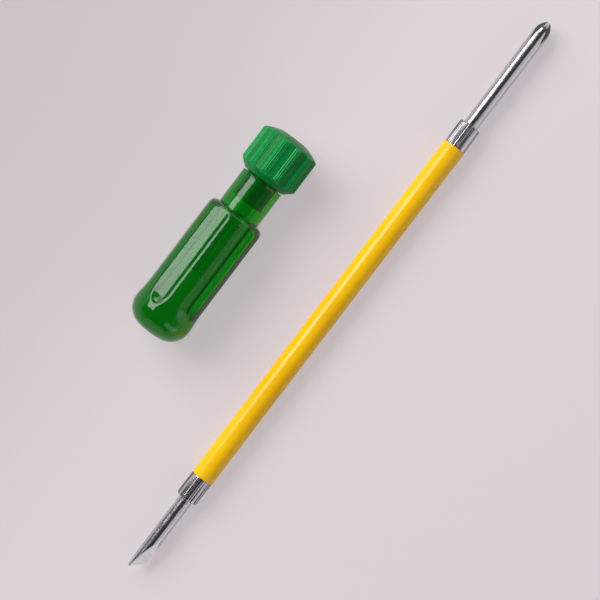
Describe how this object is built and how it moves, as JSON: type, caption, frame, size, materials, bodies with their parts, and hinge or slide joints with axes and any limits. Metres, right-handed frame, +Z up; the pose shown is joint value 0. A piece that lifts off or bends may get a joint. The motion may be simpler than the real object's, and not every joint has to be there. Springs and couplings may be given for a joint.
{
  "type": "two-in-one screwdriver",
  "caption": "Double-ended screwdriver blade with an insulating sleeve and gripping ferrules, beside its fluted see-through handle with a turning chuck collar that takes either end.",
  "frame": {"origin": "middle of the footprint of the blade and the handle lying side by side, on the surface they lie on", "axes": "+X along the blade and the handle toward the cross tip and the handle's mouth, +Y from the blade to the handle, +Z up"},
  "size_m": [0.27, 0.0688, 0.0254],
  "materials": {
    "green_acetate": "polished, see-through",
    "bush_steel": "turned, dull",
    "collet_brass": "turned",
    "collar_green": "satin, finely lined",
    "blade_steel": "plated, bright",
    "ferrule_steel": "straight lined, bright",
    "sleeve_yellow": "gloss"
  },
  "bodies": {
    "blade": {"blade_shank": "blade_steel", "flat_ferrule": "ferrule_steel", "cross_ferrule": "ferrule_steel", "insulating_sleeve": "sleeve_yellow"},
    "handle": {"handle_body": "green_acetate", "socket_bush": "bush_steel", "split_collet": "collet_brass"},
    "collar": {"chuck_collar": "collar_green"}
  },
  "joints": [
    {"name": "handle_slide", "type": "slide", "parent": "blade", "child": "handle", "axis": [-1, 0, 0], "range_m": [0, 0.176]},
    {"name": "collar_turn", "type": "hinge", "parent": "handle", "child": "collar", "pos_m": [0.03, 0.0217, 0.0127], "axis": [1, 0, 0], "range_deg": [0, 360]}
  ]
}
